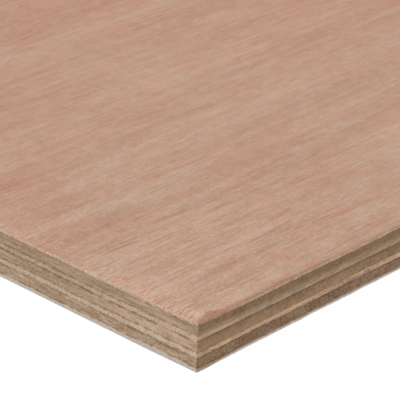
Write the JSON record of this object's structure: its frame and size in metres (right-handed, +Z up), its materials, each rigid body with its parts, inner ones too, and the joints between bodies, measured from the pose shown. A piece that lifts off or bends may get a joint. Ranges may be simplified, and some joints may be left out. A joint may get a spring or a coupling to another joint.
{
  "type": "plywood sheet",
  "caption": "Flat rectangular hardwood plywood sheet of crossed veneers glued face to face, with a reddish sanded face and square sawn edges that show the plies.",
  "frame": {"origin": "middle of the underside, on the floor that the sheet lies on", "axes": "+X along the length and the face grain, +Y across the sheet, +Z up through the thickness"},
  "size_m": [2.44, 1.22, 0.018],
  "materials": {
    "face_veneer": "sanded rotary-cut hardwood, pinkish red-brown, open pores",
    "crossband": "sawn brown veneer, grain across the sheet",
    "long_band": "sawn pale veneer, grain along the sheet",
    "back_veneer": "sanded rotary-cut hardwood, paler and plainer than the face"
  },
  "bodies": {
    "root": {"face_veneer": "face_veneer", "upper_crossband": "crossband", "upper_long_band": "long_band", "core": "crossband", "lower_long_band": "long_band", "lower_crossband": "crossband", "back_veneer": "back_veneer"}
  },
  "joints": []
}
